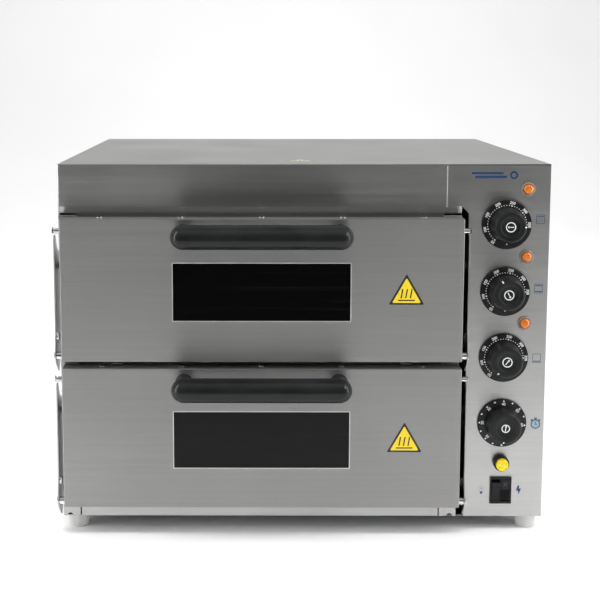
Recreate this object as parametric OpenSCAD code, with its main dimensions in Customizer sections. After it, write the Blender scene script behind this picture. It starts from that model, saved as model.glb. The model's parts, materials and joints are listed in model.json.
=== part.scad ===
// Countertop pizza oven with two decks, drop-down doors and a control column on the right.
// Every piece is placed from the front left bottom corner of the casing: X to the right,
// Y from the fascia plane into the oven, Z up from the casing's underside. in_frame() then
// moves it so that the origin is at the middle of the whole oven, on the counter.

/* [Casing] */
// Width of the casing
body_w = 560; // [540:1:620]
// Depth of the casing, fascia to back panel
body_d = 480; // [470:1:560]
// Height of the casing without feet
body_h = 414; // [412:1:460]
// Thickness of the casing sheet
sheet = 1.2; // [1:0.1:1.5]
// Height of the rubber feet
foot_h = 16; // [10:1:30]
// Distance of the feet from the casing's edges
foot_inset = 16; // [14:1:60]
// Underside of the canopy's folded lip
canopy_z = 357.5; // [357:0.5:360]
// Height of the canopy's folded lip
lip_h = 8; // [6:0.5:10]
// How far the lip leans in
lip_in = 3; // [2:0.5:5]
// Right end of the canopy front, where the control fascia starts
seam_x = 441.6; // [441:0.2:444]

/* [Decks] */
// Height of the lower door's bottom edge
sill = 18; // [16:1:20]
// Height from one deck to the next
pitch = 172; // [170:1:176]
// Width of the front posts
post_w = 20; // [16:1:20]
// Clear width of a baking chamber
chamber_w = 400; // [380:1:404]
// Clear depth of a baking chamber
chamber_d = 409; // [400:1:412]
// Clear height of a baking chamber
chamber_h = 150; // [148:1:150]
// Thickness of the baking stones
stone_t = 12; // [10:1:15]
// Height of the ledges that carry a stone
ledge_h = 18; // [17:1:20]
// Diameter of the heating tubes
element_d = 8; // [6:0.5:9]

/* [Doors] */
// Left edge of the doors
door_x = 4; // [3:1:6]
// Width of a door
door_w = 456; // [456:1:458]
// Height of a door
door_h = 164; // [162:1:164]
// Thickness of a door
door_t = 20.5; // [19.5:0.5:21]
// Gap between a closed door and the front frame
door_gap = 1.5; // [1.5:0.1:2]
// Width of the door window
window_w = 201; // [180:1:220]
// Height of the door window
window_h = 66; // [60:1:70]
// Height of the window's bottom edge above the door's
window_z = 47.5; // [45:0.5:50]
// Thickness of the panes
pane_t = 4; // [3:0.5:4]
// Length of a handle
handle_len = 201.5; // [190:0.5:220]
// Diameter of a handle
handle_d = 27.5; // [24:0.5:28]
// Distance of the handle's axis in front of the door
handle_out = 34; // [33:1:38]
// Height of the handle's axis above the door's bottom edge
handle_z = 148; // [146:1:150]
// Diameter of the handle's legs
leg_d = 18; // [14:1:20]

/* [Hinges] */
// Gap between a door's side and its hinge plate
hinge_gap = 6.5; // [6:0.1:7]
// Thickness of a hinge plate
plate_t = 1.5; // [1.2:0.1:1.5]
// Radius of the pivot studs
pivot_r = 3; // [2.5:0.1:3]
// Radial running clearance of studs, stems and pins
run_gap = 0.05; // [0.03:0.01:0.1]
// Height of the pivot above the door's bottom edge
pivot_up = 5; // [5:0.5:6]
// Distance of the pivot in front of the fascia plane
pivot_out = 12; // [11:0.5:12]

/* [Controls] */
// Left edge of the control column
column_x = 468; // [468:0.5:472]
// Middle of the dials, across
dial_x = 511; // [508:1:514]
// Height of the top dial's middle
dial_top_z = 345.2; // [343:0.1:346]
// Distance from one dial to the next
dial_pitch = 77.4; // [76:0.1:78]
// Radius of the printed dial plates
dial_r = 28.4; // [26:0.1:29]
// Thickness of the dial plates
dial_t = 3; // [2:0.5:4]
// Radius of a knob at its base
knob_r = 20.3; // [18:0.1:22]
// How far the knobs stand out of the fascia
knob_out = 26; // [22:1:28]
// Middle of the indicator lamps, across
lamp_x = 534.4; // [533:0.2:536]
// Height of an indicator lamp above its dial
lamp_up = 40.4; // [39:0.2:41]
// Height of the push button's middle
button_z = 65.5; // [64:0.1:68]
// Travel of the push button
button_travel = 3; // [2:0.5:3]
// Height of the rocker switches' middle
switch_z = 31.9; // [30:0.1:33]
// Width of the rocker switch frame
switch_w = 25; // [25:0.5:28]
// Height of the rocker switch frame
switch_h = 32; // [32:0.5:34]
// Tilt of a rocker each way
rocker_tilt = 8; // [6:0.5:8]

/* [Hidden] */
$fn = 48;
stud_out = 1.4;
handle_y = -(door_gap + door_t + handle_out);
gland_out = 20;
door_mid = door_x + door_w / 2;
door_right = door_x + door_w;
door_y = -(door_gap + door_t);
plate_left = door_x - hinge_gap - plate_t;
plate_right = door_right + hinge_gap;
left_out = -plate_left + stud_out;
front_out = -handle_y + handle_d / 2;
mid_x = (body_w - left_out) / 2;
mid_y = (body_d + gland_out - front_out) / 2;
chamber_x = door_mid - chamber_w / 2;
floor_up = 6;
stud_up = door_h - 15;
gland_x = 520;
gland_z = 60;
gland_bore_r = 5.5;
switch_mid = dial_x + 0.6;
switch_x = switch_mid - switch_w / 2;
rocker_w = 9.8;
rocker_pivot_y = 5;
stem_r = 3;
stem_len = 12;
pointer_w = 1.7;
bush_r = 5;
cap_gap = 0.3;
hole_gap = 0.2;
fold = 14;
post_top = canopy_z - 2;
tab_w = 12;
tab_out = 8.4;
rail_y = 4;
rail_gap = 1.2;
liner_d = 5;
probe_r = 3;
lamp_barrel_r = 5.9;
button_r = 7.2;
button_rim_r = 9;
button_barrel_r = 7.8;
gland_barrel_r = 9.8;
gland_hex_r = 13.5;
switch_edge = 0.8;
switch_half = 14.3;
handle_screw_r = 2.5;
catch_y = -10;
lamp_dome = 6.7;
lamp_sphere = 17;
lamp_hole_r = 14;
terminal_y = sheet + chamber_d + 45;
dial_zs = [for (i = [0:3]) dial_top_z - i * dial_pitch];
feet_at = [for (x = [foot_inset, body_w - foot_inset], y = [foot_inset, body_d - foot_inset]) [x, y]];
probe_spots = [[1, chamber_h - 26], [1, 52], [0, 52]];
socket_y = 340;
socket_up = 96;
probe_y = 300;
plate_screws = [[24, 104], [14, 21]];

steel = "silver";
dark_steel = "dimgray";
black = [0.09, 0.09, 0.10];

function deck_z(deck) = sill + deck * pitch;
function floor_z(deck) = deck_z(deck) + floor_up;

module in_frame() translate([-mid_x, -mid_y, foot_h]) children();
// A box from its low corner to its high corner.
module span(low, high) translate(low) cube(high - low);
// Round bars along X and Y, from a start point.
module bar_x(at, len, r) translate(at) rotate([0, 90, 0]) cylinder(h = len, r = r);
module bar_y(at, len, r) translate(at) rotate([-90, 0, 0]) cylinder(h = len, r = r);
// An outline drawn in Y and Z, extruded along X from x0.
module slab_x(x0, t) translate([x0, 0, 0]) rotate([90, 0, 90]) linear_extrude(t) children();
// An outline drawn in X and Z, extruded along Y from y0.
module slab_y(y0, t) translate([0, y0 + t, 0]) rotate([90, 0, 0]) linear_extrude(t) children();
module screw_y(at, len, r, head_r, head_t) {
  bar_y(at, len, r);
  bar_y(at - [0, head_t, 0], head_t, head_r);
}

// The part of the rocker switch that passes through the fascia.
module switch_block(y0, y1) span([switch_x + switch_edge, y0, switch_z - switch_half],
                                 [switch_x + switch_w - switch_edge, y1, switch_z + switch_half]);

// ---- Casing ----

module lip(x0, x1) slab_x(x0, x1 - x0)
  polygon([[0, canopy_z + lip_h], [lip_in, canopy_z], [lip_in + sheet, canopy_z],
           [sheet, canopy_z + lip_h]]);

module top_cover() color(steel) in_frame() {
  span([0, 0, body_h - sheet], [body_w, body_d, body_h]);
  span([0, 0, canopy_z + lip_h], [seam_x, sheet, body_h - sheet]);
  lip(sheet, seam_x);
}

module fascia_outline() {
  left = seam_x + 0.4;
  polygon([[left, canopy_z + lip_h], [left, body_h - sheet], [body_w, body_h - sheet], [body_w, 0],
           [column_x, 0], [column_x, canopy_z], [column_x - lip_h, canopy_z + lip_h]]);
}

module control_fascia() color(steel) in_frame() difference() {
  union() {
    slab_y(0, sheet) fascia_outline();
    lip(seam_x + 0.4, column_x - lip_h);
    span([column_x, sheet, sheet], [column_x + sheet, fold, canopy_z]);
  }
  for (z = dial_zs) bar_y([dial_x, -1, z], 4, bush_r + hole_gap);
  for (i = [0:2]) bar_y([lamp_x, -1, dial_zs[i] + lamp_up], 4, lamp_barrel_r + hole_gap);
  bar_y([dial_x, -1, button_z], 4, button_barrel_r + hole_gap);
  switch_block(-1, 3);
  for (deck = [0, 1]) plate_screw_holes(deck, column_x - 1);
}

// Rows of vent slots in a side panel, from y0 and z0.
module side_slots(x0, y0, z0, rows) for (i = [0:rows - 1], j = [0, 1])
  span([x0, y0 + j * 80, z0 + i * 14], [x0 + 4, y0 + 60 + j * 80, z0 + 4 + i * 14]);

module plate_screw_holes(deck, x0) for (s = plate_screws)
  bar_x([x0, s[0], deck_z(deck) + s[1]], 6, 2);

module left_side_panel() color(steel) in_frame() difference() {
  span([0, sheet, sheet], [sheet, body_d - sheet, body_h - sheet]);
  side_slots(-1, 310, 330, 4);
  for (deck = [0, 1]) plate_screw_holes(deck, -2);
}

module right_side_panel() color(steel) in_frame() difference() {
  span([body_w - sheet, sheet, sheet], [body_w, body_d - sheet, body_h - sheet]);
  side_slots(body_w - 3, 90, 330, 4);
  side_slots(body_w - 3, 90, 40, 4);
}

module back_panel() color(steel) in_frame() difference() {
  span([sheet, body_d - sheet, sheet], [body_w - sheet, body_d, body_h - sheet]);
  bar_y([gland_x, body_d - 3, gland_z], 6, gland_barrel_r + hole_gap);
  for (row = [0:5], col = [0:4])
    span([70 + col * 90, body_d - 3, 300 + row * 14], [130 + col * 90, body_d + 1, 304 + row * 14]);
}

module base_plate() color(steel) in_frame() difference() {
  span([0, sheet, 0], [body_w, body_d, sheet]);
  for (f = feet_at) translate([f[0], f[1], -1]) cylinder(h = 4, r = 2);
  for (i = [0:7]) span([490, 90 + i * 30, -1], [540, 96 + i * 30, 3]);
}

// Folded channel: a front flange and two returns. The underside has a half-round notch.
module post(x0, depth, notch_x) difference() {
  union() {
    span([x0, 0, 0], [x0 + post_w, sheet, post_top]);
    span([x0 + (notch_x < door_mid ? post_w - sheet : 0), sheet, sheet],
         [x0 + (notch_x < door_mid ? post_w : sheet), fold, post_top]);
    if (depth > 0) span([x0 + post_w - sheet, sheet, sheet], [x0 + post_w, depth, post_top]);
  }
  bar_y([notch_x, -1, 0], 3, 3.5);
}

module front_posts() color(steel) in_frame() {
  post(0, 0, 7.6);
  post(door_right - post_w, 60, door_right - 7.6);
}

// Stop tabs under a door, which meet the door's bottom edge when it is fully open.
module stop_tabs(deck) for (side = [-1, 1]) {
  x = door_mid + side * 166 - tab_w / 2;
  span([x, -tab_out, deck_z(deck) - 6.4], [x + tab_w, rail_y, deck_z(deck) - 4]);
}

module front_rails() color(steel) in_frame() {
  right = door_right - post_w;
  span([post_w + rail_gap, 0, 0], [right - rail_gap, sheet, deck_z(0)]);
  span([post_w + rail_gap, sheet, deck_z(0) - sheet], [right - rail_gap, fold, deck_z(0)]);
  span([post_w, rail_y, deck_z(1) - 9], [right, rail_y + sheet, deck_z(1) + 1]);
  span([post_w, rail_y + 1, deck_z(1) + door_h - 1], [right, rail_y + 1 + sheet, body_h - 20]);
  for (deck = [0, 1]) stop_tabs(deck);
}

module partition_panel() color(dark_steel) in_frame() difference() {
  x0 = column_x + sheet;
  span([x0, sheet, sheet], [x0 + sheet, body_d - sheet, body_h - sheet]);
  span([x0 - 1, body_d - 60, 150], [x0 + 3, body_d - 20, 240]);
  for (p = probe_spots) bar_x([x0 - 1, probe_y, floor_z(p[0]) + p[1]], 4, probe_r + 0.5);
  for (deck = [0, 1]) plate_screw_holes(deck, column_x - 1);
}

// ---- Baking chambers ----

module chamber(deck) {
  z0 = floor_z(deck);
  x1 = chamber_x + chamber_w;
  color(dark_steel) in_frame() difference() {
    union() {
      span([chamber_x - sheet, sheet, z0 - sheet],
           [x1 + sheet, sheet + chamber_d + sheet, z0 + chamber_h + sheet]);
      span([post_w, 0, deck_z(deck)], [door_right - post_w, sheet, z0 + chamber_h + floor_up]);
    }
    span([chamber_x, -1, z0], [x1, sheet + chamber_d, z0 + chamber_h]);
    for (x = element_ends(), z = [element_low(deck), element_high(deck)])
      bar_y([x, chamber_d, z], 6, element_d / 2 + 0.4);
    bar_x([x1 - 1, socket_y, z0 + socket_up], 4, lamp_hole_r);
    for (p = probe_spots) if (p[0] == deck) bar_x([x1 - 1, probe_y, z0 + p[1]], 4, probe_r + 0.5);
  }
}

// Mineral wool round a chamber, open at the front and cut out for what passes through it.
module insulation(deck) {
  z0 = floor_z(deck);
  x1 = chamber_x + chamber_w;
  top = deck == 0 ? z0 + chamber_h + 11 : body_h - 8;
  color("khaki") in_frame() difference() {
    span([sheet + 1, 26, deck == 0 ? sheet + 1 : z0 - 11], [door_right - 2, terminal_y - 22, top]);
    span([chamber_x - sheet, 0, z0 - sheet], [x1 + sheet, chamber_d + 2 * sheet, z0 + chamber_h + sheet]);
    for (x = element_ends(), z = [element_low(deck), element_high(deck)])
      bar_y([x, chamber_d, z], 60, element_d / 2 + 1);
    bar_x([x1, socket_y, z0 + socket_up], 40, 19);
    for (p = probe_spots) if (p[0] == deck) bar_x([x1, probe_y, z0 + p[1]], 40, probe_r + 0.5);
    for (s = plate_screws) bar_x([-1, s[0], deck_z(deck) + s[1]], 8, 4);
    if (deck == 0)
      for (f = feet_at) translate([f[0], f[1], 0]) cylinder(h = 12, r = 6);
  }
}

module stone(deck) color("wheat") in_frame() {
  z0 = floor_z(deck) + ledge_h;
  span([chamber_x + 2, 6, z0], [chamber_x + chamber_w - 2, 6 + chamber_d - 13, z0 + stone_t]);
}

module stone_ledges() color(dark_steel) in_frame() for (deck = [0, 1]) {
  z0 = floor_z(deck);
  for (side = [0, 1]) {
    wall = side == 0 ? chamber_x : chamber_x + chamber_w - sheet;
    shelf = side == 0 ? chamber_x : chamber_x + chamber_w - 10;
    span([wall, 20, z0], [wall + sheet, 390, z0 + ledge_h - sheet]);
    span([shelf, 20, z0 + ledge_h - sheet], [shelf + 10, 390, z0 + ledge_h]);
  }
}

// Heating tubes run front to back in six passes, and end at the back.
function element_step() = chamber_w * 0.15;
function element_ends() = [door_mid - 2.5 * element_step(), door_mid + 2.5 * element_step()];
function element_low(deck) = floor_z(deck) + 9;
function element_high(deck) = floor_z(deck) + chamber_h - 10;

module element_bend(x, y, z, turn) translate([x, y, z]) rotate([0, 0, turn])
  rotate_extrude(angle = 180) translate([element_step() / 2, 0]) circle(d = element_d);

module element(z) color([0.25, 0.2, 0.18]) in_frame() {
  front = 80;
  back = 330;
  step = element_step();
  for (x = element_ends()) {
    bar_y([x, front, z], terminal_y - front, element_d / 2);
    bar_y([x, terminal_y, z], 8, 2);
  }
  for (i = [-1.5:1.5]) bar_y([door_mid + i * step, front, z], back - front, element_d / 2);
  for (i = [-2, 0, 2]) element_bend(door_mid + i * step, front, z, 180);
  for (i = [-1, 1]) element_bend(door_mid + i * step, back, z, 0);
}

module lamp_sockets() color("ivory") in_frame() for (deck = [0, 1]) difference() {
  at = [chamber_x + chamber_w + sheet, socket_y, floor_z(deck) + socket_up];
  union() {
    bar_x(at, 3, 18);
    bar_x(at + [3, 0, 0], 19, 12);
  }
  bar_x(at - [1, 0, 0], 14, 9);
}

// Shallow glass domes over the chamber lamps, hardly proud of the walls.
module lamp_glasses() color("white") in_frame() for (deck = [0, 1])
  translate([chamber_x + chamber_w + sheet, socket_y, floor_z(deck) + socket_up])
    rotate([0, -90, 0]) rotate_extrude() intersection() {
      translate([0, lamp_dome - lamp_sphere]) difference() {
        circle(r = lamp_sphere);
        circle(r = lamp_sphere - 2);
      }
      square(20);
    }

module thermostat_probes() color("peru") in_frame() for (p = probe_spots) {
  at = [chamber_x + chamber_w - probe_r - 1, probe_y, floor_z(p[0]) + p[1]];
  bar_y(at - [0, 80, 0], 80 + probe_r, probe_r);
  bar_x(at, 52, 1);
}

// ---- Electrics behind the fascia ----

module shaft_device(z, r, len) difference() {
  union() {
    bar_y([dial_x, 0, z], sheet, bush_r);
    bar_y([dial_x, sheet, z], len, r);
    for (dx = [-8, 8])
      span([dial_x + dx - 3, sheet + len, z - 0.4], [dial_x + dx + 3, sheet + len + 8, z + 0.4]);
  }
  bar_y([dial_x, -1, z], stem_len + 3, stem_r + run_gap);
}

module thermostats() color(dark_steel) in_frame() for (i = [0:2]) shaft_device(dial_zs[i], 20, 26);
module timer_body() color("slategray") in_frame() shaft_device(dial_zs[3], 24, 36);

module terminal_block() color("beige") in_frame() difference() {
  span([500, 420, 90], [545, 440, 110]);
  for (i = [0:4]) bar_y([504.5 + i * 9, 410, 100], 40, 2.5);
}

module cable_gland() color(black) in_frame() difference() {
  union() {
    bar_y([gland_x, body_d - 10, gland_z], 11, gland_barrel_r);
    for (nut = [[-sheet, 5], [7, 7]])
      translate([gland_x, body_d + nut[0], gland_z]) rotate([90, 0, 0])
        cylinder(h = nut[1], r = gland_hex_r, $fn = 6);
    bar_y([gland_x, body_d + 7, gland_z], 6, 10.5);
    translate([gland_x, body_d + 13, gland_z]) rotate([-90, 0, 0])
      cylinder(h = gland_out - 13, r1 = 10.5, r2 = 8);
  }
  bar_y([gland_x, body_d - 12, gland_z], 40, gland_bore_r);
}

module feet() color(black) in_frame() for (f = feet_at) translate([f[0], f[1], -foot_h])
  difference() {
    cylinder(h = foot_h, r1 = 11, r2 = 13);
    translate([0, 0, -1]) cylinder(h = foot_h + 2, r = 2);
    translate([0, 0, -1]) cylinder(h = 7, r = 4.5);
  }

module foot_screws() color(steel) in_frame() for (f = feet_at) translate([f[0], f[1], 0]) {
  translate([0, 0, -10]) cylinder(h = 16, r = 2);
  translate([0, 0, -12.5]) cylinder(h = 2.5, r = 4);
}

// ---- Hinges ----

// Fixed plate beside a door: pivot lobe at the bottom, a slot above it and a nose at the top.
module plate_outline(deck) {
  z0 = deck_z(deck);
  difference() {
    union() {
      translate([-pivot_out, z0 + pivot_up]) circle(r = 7);
      polygon([[-18.6, z0 + pivot_up], [-14, z0 + 30], [-14, z0 + 138], [-11, z0 + 144], [-6, z0 + 144],
               [4, z0 + 128], [34, z0 + 112], [34, z0 + 14], [14, z0 - 6], [5, z0 - 16.5],
               [2, z0 - 16.5], [-16, z0 - 2]]);
    }
    translate([-pivot_out, z0 + pivot_up]) circle(r = pivot_r + run_gap);
    for (s = plate_screws) translate([s[0], z0 + s[1]]) circle(r = 2);
    intersection() {
      translate([-12, z0 + 4]) difference() {
        circle(r = 27);
        circle(r = 20);
      }
      polygon([[-11, z0 + 8], [-9, z0 + 40], [20, z0 + 40], [10, z0 + 20]]);
    }
  }
}

module hinge_plates() color(steel) in_frame() for (deck = [0, 1], x = [plate_left, plate_right])
  slab_x(x, plate_t) plate_outline(deck);

// Screws that hold the hinge plates, with a spacer between plate and casing on the left.
module hinge_screws() color(steel) in_frame() for (deck = [0, 1], s = plate_screws) {
  z = deck_z(deck) + s[1];
  bar_x([plate_left, s[0], z], sheet - plate_left + 2.5, 2);
  bar_x([plate_left - 2, s[0], z], 2, 3.5);
  difference() {
    bar_x([plate_left + plate_t, s[0], z], -plate_left - plate_t, 3.5);
    bar_x([plate_left, s[0], z], 4, 2);
  }
  bar_x([plate_right, s[0], z], 6, 2);
  bar_x([plate_right - 2, s[0], z], 2, 3.5);
}

// ---- Doors ----

module window_cut(deck, margin, y0, y1) span(
  [door_mid - window_w / 2 - margin, y0, deck_z(deck) + window_z - margin],
  [door_mid + window_w / 2 + margin, y1, deck_z(deck) + window_z + window_h + margin]);

function screw_xs() = [for (i = [-2:2]) door_mid + i * 91.8];
function leg_xs() = [for (s = [-1, 1]) door_mid + s * (handle_len / 2 - leg_d / 2 - 3.5)];

module door_skin(deck) color(steel) in_frame() difference() {
  z0 = deck_z(deck);
  span([door_x, door_y, z0], [door_right, -door_gap, z0 + door_h]);
  span([door_x + sheet, door_y + sheet, z0 + sheet], [door_right - sheet, 1, z0 + door_h - sheet]);
  window_cut(deck, 0, door_y - 1, 0);
  for (x = leg_xs()) bar_y([x, door_y - 1, z0 + handle_z], 4, handle_screw_r);
  for (x = screw_xs()) translate([x, catch_y, z0 + door_h - 3]) cylinder(h = 5, r = 1.5);
  for (x = [door_x - 1, door_right - 3]) {
    bar_x([x, -pivot_out, z0 + pivot_up], 4, pivot_r);
    bar_x([x, catch_y, z0 + stud_up], 4, 2);
  }
}

module door_liner(deck) color(dark_steel) in_frame() difference() {
  z0 = deck_z(deck);
  span([door_x + sheet, -door_gap - liner_d, z0 + sheet],
       [door_right - sheet, -door_gap, z0 + door_h - sheet]);
  span([door_x + 2 * sheet, -door_gap - liner_d - 1, z0 + 2 * sheet],
       [door_right - 2 * sheet, -door_gap - sheet, z0 + door_h - 2 * sheet]);
  window_cut(deck, 2, -10, 1);
}

module pane(deck, y0) color([0.1, 0.1, 0.1, 0.6]) in_frame() window_cut(deck, 8, y0, y0 + pane_t);

module door_insulation(deck) color("khaki") in_frame() difference() {
  z0 = deck_z(deck);
  span([door_x + 20, door_y + sheet + pane_t + 0.2, z0 + 12],
       [door_right - 20, -door_gap - sheet - pane_t - 0.2, z0 + 136]);
  window_cut(deck, 10, door_y, 0);
}

module door_handle(deck) color(black) in_frame() difference() {
  z = deck_z(deck) + handle_z;
  half = handle_len / 2 - handle_d / 2;
  union() {
    bar_x([door_mid - half, handle_y, z], 2 * half, handle_d / 2);
    for (s = [-1, 1]) translate([door_mid + s * half, handle_y, z]) sphere(d = handle_d);
    for (x = leg_xs()) bar_y([x, handle_y, z], handle_out, leg_d / 2);
  }
  for (x = leg_xs()) bar_y([x, door_y - 14, z], 16, handle_screw_r);
}

// Pivot and catch studs: a shank through the door's side, a spacer and a hexagon nut outside.
module stud(x_side, out, y, z, r, spacer_r) {
  reach = hinge_gap - 0.1;
  nut = hinge_gap + plate_t + 0.1;
  translate([x_side, y, z]) rotate([0, out * 90, 0]) {
    translate([0, 0, -sheet - 3]) cylinder(h = 3, r = 3.7);
    translate([0, 0, -sheet]) cylinder(h = sheet + nut, r = r);
    cylinder(h = reach, r = spacer_r);
    translate([0, 0, nut]) cylinder(h = stud_out - 0.1, r = 4, $fn = 6);
  }
}

module door_studs(deck) color(steel) in_frame() for (s = [[door_x, -1], [door_right, 1]]) {
  z0 = deck_z(deck);
  stud(s[0], s[1], -pivot_out, z0 + pivot_up, pivot_r, 4.5);
  stud(s[0], s[1], catch_y, z0 + stud_up, 2, 3);
}

module door_screws(deck) color(steel) in_frame() {
  z0 = deck_z(deck);
  for (x = screw_xs()) translate([x, catch_y, z0 + door_h]) {
    translate([0, 0, -6]) cylinder(h = 6, r = 1.5);
    cylinder(h = 1.2, r = 3.2);
  }
  for (x = leg_xs()) {
    bar_y([x, door_y - 12, z0 + handle_z], 12 + sheet, handle_screw_r);
    bar_y([x, door_y + sheet, z0 + handle_z], 3, 4.5);
  }
}

// ---- Controls ----

module indicator_lamps() color("ivory") in_frame() for (i = [0:2]) difference() {
  at = [lamp_x, 0, dial_zs[i] + lamp_up];
  union() {
    bar_y(at - [0, 2, 0], 2, 8);
    bar_y(at, 24, lamp_barrel_r);
  }
  bar_y(at - [0, 3, 0], 3 + 4, 5);
}

module indicator_lenses() color("orange") in_frame() for (i = [0:2])
  translate([lamp_x, 0, dial_zs[i] + lamp_up]) rotate([90, 0, 0]) {
    translate([0, 0, -3]) cylinder(h = 5, r = 5);
    translate([0, 0, 2]) cylinder(h = 1.6, r = 6.2);
    translate([0, 0, 3.6]) cylinder(h = 1.4, r1 = 6.2, r2 = 4.6);
  }

module dial_plates() color(black) in_frame() for (z = dial_zs) difference() {
  translate([dial_x, 0, z]) rotate([90, 0, 0]) {
    cylinder(h = dial_t - 1, r = dial_r);
    translate([0, 0, dial_t - 1]) cylinder(h = 1, r1 = dial_r, r2 = dial_r - 1);
  }
  bar_y([dial_x, -dial_t - 1, z], dial_t + 2, bush_r);
}

// A tapered cap with a rounded rim, a dished face and a pointer rib on the rim, and its stem.
module knob(i, pointer) color(black) in_frame() translate([dial_x, 0, dial_zs[i]]) rotate([90, 0, 0]) {
  base = dial_t + cap_gap;
  rim = 3;
  face_r = knob_r - 2.2;
  rotate_extrude() polygon(concat(
    [[0, base], [knob_r, base], [knob_r, base + 2]],
    [for (a = [0:22.5:90]) [face_r - rim + rim * cos(a), knob_out - rim + rim * sin(a)]],
    [[11, knob_out], [9, knob_out - 1], [0, knob_out - 1.8]]));
  translate([0, 0, -stem_len]) cylinder(h = stem_len + base, r = stem_r);
  rotate([0, 0, -90 - pointer]) translate([face_r - rim, -pointer_w / 2, knob_out - rim])
    cube([rim - 0.3, pointer_w, rim - 0.3]);
}

module button_housing() color(black) in_frame() difference() {
  union() {
    bar_y([dial_x, -8, button_z], 8, button_rim_r);
    bar_y([dial_x, 0, button_z], 24, button_barrel_r);
  }
  bar_y([dial_x, -9, button_z], 7, button_r + 0.1);
  bar_y([dial_x, -9, button_z], 24, 4 + run_gap);
}

module button_cap() color("gold") in_frame() {
  back = -2 - button_travel - 0.2;
  bar_y([dial_x, -11.4, button_z], 11.4 + back, button_r);
  translate([dial_x, -11.4, button_z]) rotate([90, 0, 0])
    cylinder(h = 0.6, r1 = button_r, r2 = button_r - 0.8);
  bar_y([dial_x, back, button_z], 11, 4);
}

// Middle of a rocker, across: 0 is the light's, 1 the power's.
function rocker_x(i) = switch_mid + (i - 0.5) * (rocker_w + 1.2);

module switch_housing() color(black) in_frame() difference() {
  union() {
    span([switch_x, -2, switch_z - switch_h / 2], [switch_x + switch_w, 0, switch_z + switch_h / 2]);
    switch_block(0, 22);
  }
  for (i = [0, 1]) {
    w = rocker_w / 2 + 0.2;
    span([rocker_x(i) - w, -3, switch_z - 13], [rocker_x(i) + w, 14, switch_z + 13]);
  }
  bar_x([switch_x + 1.4, rocker_pivot_y, switch_z], switch_w - 2.8, 1.5 + run_gap);
}

// A rocker with a shallow V face, turned about its pin.
module rocker(i, tilt) color([0.16, 0.16, 0.17]) in_frame()
  translate([rocker_x(i) - rocker_w / 2, rocker_pivot_y, switch_z]) rotate([tilt, 0, 0]) {
    rotate([90, 0, 90]) linear_extrude(rocker_w)
      polygon([[-6.5, 0], [-8.8, 11.5], [-3, 11.5], [4, 4], [4, -4], [-3, -11.5], [-8.8, -11.5]]);
    bar_x([-0.5, 0, 0], rocker_w + 1, 1.5);
  }

top_cover();
control_fascia();
left_side_panel();
right_side_panel();
back_panel();
base_plate();
front_posts();
front_rails();
partition_panel();
chamber(1);  // upper_chamber
chamber(0);  // lower_chamber
insulation(1);  // upper_insulation
insulation(0);  // lower_insulation
stone(1);  // upper_stone
stone(0);  // lower_stone
stone_ledges();
element(element_high(1));  // upper_ceiling_element
element(element_low(1));  // upper_floor_element
element(element_high(0));  // lower_ceiling_element
element(element_low(0));  // lower_floor_element
lamp_sockets();
lamp_glasses();
thermostats();
timer_body();
thermostat_probes();
terminal_block();
cable_gland();
feet();
foot_screws();
hinge_plates();
hinge_screws();
door_skin(1);  // upper_door_skin
door_liner(1);  // upper_door_liner
pane(1, door_y + sheet);  // upper_door_glass
pane(1, -door_gap - sheet - pane_t);  // upper_door_inner_glass
door_insulation(1);  // upper_door_insulation
door_handle(1);  // upper_door_handle
door_studs(1);  // upper_door_studs
door_screws(1);  // upper_door_screws
door_skin(0);  // lower_door_skin
door_liner(0);  // lower_door_liner
pane(0, door_y + sheet);  // lower_door_glass
pane(0, -door_gap - sheet - pane_t);  // lower_door_inner_glass
door_insulation(0);  // lower_door_insulation
door_handle(0);  // lower_door_handle
door_studs(0);  // lower_door_studs
door_screws(0);  // lower_door_screws
indicator_lamps();
indicator_lenses();
dial_plates();
knob(0, 270);  // upper_knob
knob(1, 153);  // middle_knob
knob(2, 38);  // lower_knob
knob(3, 8);  // timer_knob
button_housing();
button_cap();
switch_housing();
rocker(0, rocker_tilt);  // light_rocker
rocker(1, -rocker_tilt);  // power_rocker
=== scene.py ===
"""Countertop pizza oven with two decks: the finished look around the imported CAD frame."""
import json
import math

import bmesh
import bpy
from mathutils import Matrix, Vector


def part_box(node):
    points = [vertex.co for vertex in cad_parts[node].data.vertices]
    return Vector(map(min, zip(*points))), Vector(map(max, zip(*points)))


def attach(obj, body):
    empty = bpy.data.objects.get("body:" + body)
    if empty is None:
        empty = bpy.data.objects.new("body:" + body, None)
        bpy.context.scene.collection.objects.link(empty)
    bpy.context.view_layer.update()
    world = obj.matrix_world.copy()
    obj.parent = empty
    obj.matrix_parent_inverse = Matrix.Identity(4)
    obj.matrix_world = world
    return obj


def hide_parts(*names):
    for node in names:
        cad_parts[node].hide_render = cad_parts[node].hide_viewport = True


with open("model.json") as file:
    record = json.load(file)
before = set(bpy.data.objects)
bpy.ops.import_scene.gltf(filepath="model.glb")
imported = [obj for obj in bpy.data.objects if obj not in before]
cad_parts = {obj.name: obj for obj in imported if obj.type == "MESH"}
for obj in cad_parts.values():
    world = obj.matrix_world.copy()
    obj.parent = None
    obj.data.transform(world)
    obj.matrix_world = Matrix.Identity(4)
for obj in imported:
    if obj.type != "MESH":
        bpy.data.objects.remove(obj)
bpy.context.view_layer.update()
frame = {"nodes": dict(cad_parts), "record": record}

# Profiles, outlines and the sizes of details are in mm. Places, the floor and lights are in metres.
MM = 0.001
NODES = frame["nodes"]
JOINTS = {joint["name"]: joint for joint in frame["record"]["behaviour"]["joints"]}
SLOT_OF = {part["node"]: part["material_slot"] for part in frame["record"]["subparts"]}
BODIES = frame["record"]["behaviour"]["bodies"]
BODY_OF = {node: body for body, members in BODIES.items() for node in members}
DECKS = ("upper", "lower")
ALONG_Y = Matrix.Rotation(math.radians(90), 4, "X")
ALONG_X = Matrix.Rotation(math.radians(90), 4, "Y")
TIPPED_BACK = Matrix.Rotation(math.radians(-90), 4, "X")


# ---- Materials ----

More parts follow.
